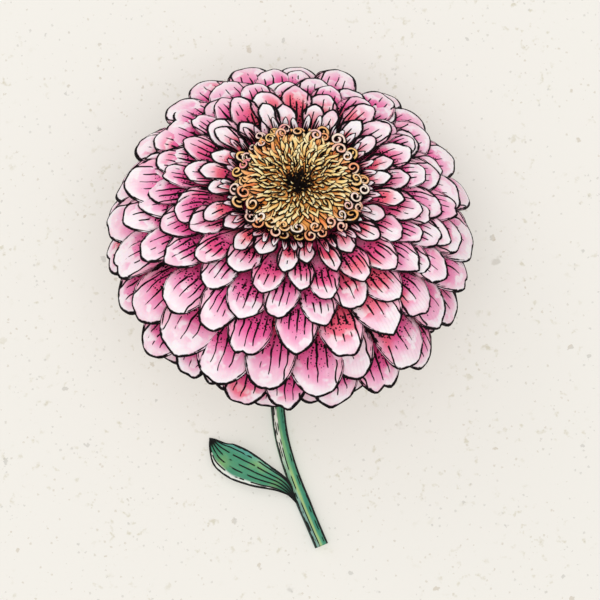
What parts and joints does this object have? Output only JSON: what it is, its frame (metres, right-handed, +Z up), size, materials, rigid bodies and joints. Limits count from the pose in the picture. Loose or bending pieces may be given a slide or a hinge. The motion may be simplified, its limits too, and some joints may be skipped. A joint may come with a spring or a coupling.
{
  "type": "cut zinnia flower",
  "caption": "Cut double zinnia lying on its back: a domed bloom of layered ray petals round a golden disc, on a curved stem with one leaf.",
  "frame": {"origin": "on the surface that the flower lies on, under the middle of its overall box", "axes": "+Z up from the surface, +Y along the stem from its cut end to the bloom, +X to the right seen from above"},
  "size_m": [0.11, 0.1462, 0.0747],
  "materials": {
    "petal": "soft matt petals, pale pink at the tips and rose at the bases",
    "floret": "matt golden florets",
    "bract": "dry matt green scales",
    "stem": "satin green, finely ridged",
    "leaf": "soft matt green with paler streaks"
  },
  "bodies": {
    "root": {"ray_petals": "petal", "disc_florets": "floret", "involucre": "bract", "stem": "stem", "leaf": "leaf"}
  },
  "joints": []
}
